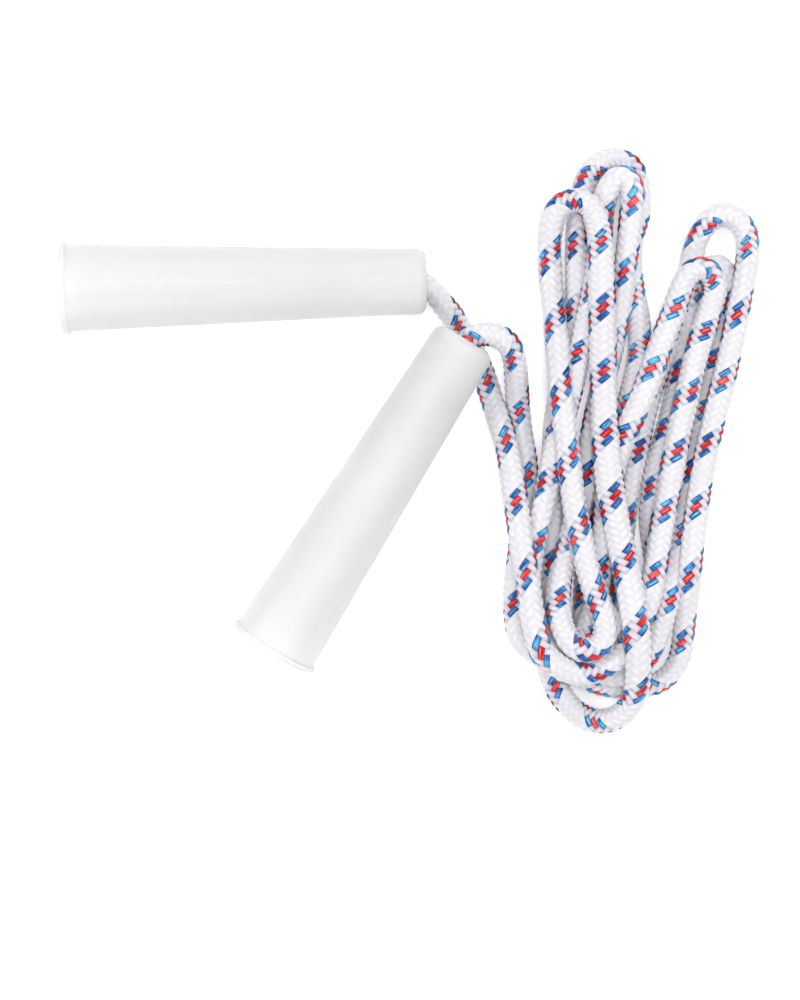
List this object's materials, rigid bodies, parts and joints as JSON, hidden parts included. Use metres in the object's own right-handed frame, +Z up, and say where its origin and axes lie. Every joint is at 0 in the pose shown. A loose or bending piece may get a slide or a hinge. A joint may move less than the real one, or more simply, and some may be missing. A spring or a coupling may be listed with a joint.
{
  "type": "skipping rope",
  "caption": "Skipping rope lying ready to pick up: a soft braided rope folded in a loose hank, with a hollow tapered plastic handle free to turn and slide on each knotted end",
  "frame": {"origin": "On the floor, under the middle of the box round the two handles", "axes": "+X to the right, from the mouth of handle_a towards its narrow end; +Y along the hank of rope; +Z up from the floor it lies on"},
  "size_m": [0.2164, 0.1828, 0.0287],
  "materials": {
    "handle_plastic": "frosted natural polypropylene, fine matt",
    "rope_braid": "shiny braided polypropylene yarn, white with blue and red tracers"
  },
  "bodies": {
    "rope": {"rope_hank": "rope_braid", "rope_lead_a": "rope_braid", "rope_lead_b": "rope_braid"},
    "rope_end_a": {"rope_core_a": "rope_braid", "stopper_knot_a": "rope_braid", "rope_tail_a": "rope_braid"},
    "handle_a": {"handle_a": "handle_plastic"},
    "rope_end_b": {"rope_core_b": "rope_braid", "stopper_knot_b": "rope_braid", "rope_tail_b": "rope_braid"},
    "handle_b": {"handle_b": "handle_plastic"}
  },
  "joints": [
    {"name": "handle_a_turn", "type": "hinge", "parent": "rope", "child": "rope_end_a", "pos_m": [0.04624, 0.05427, 0.00991], "axis": [-0.9989, -0.0223, 0.0401], "continuous": true},
    {"name": "handle_a_slide", "type": "slide", "parent": "rope_end_a", "child": "handle_a", "axis": [-0.9989, -0.0223, 0.0401], "range_m": [0, 0.0225]},
    {"name": "handle_b_turn", "type": "hinge", "parent": "rope", "child": "rope_end_b", "pos_m": [0.05839, 0.03568, 0.0174], "axis": [-0.53, -0.8475, -0.0276], "continuous": true},
    {"name": "handle_b_slide", "type": "slide", "parent": "rope_end_b", "child": "handle_b", "axis": [-0.53, -0.8475, -0.0276], "range_m": [0, 0.0085]}
  ]
}
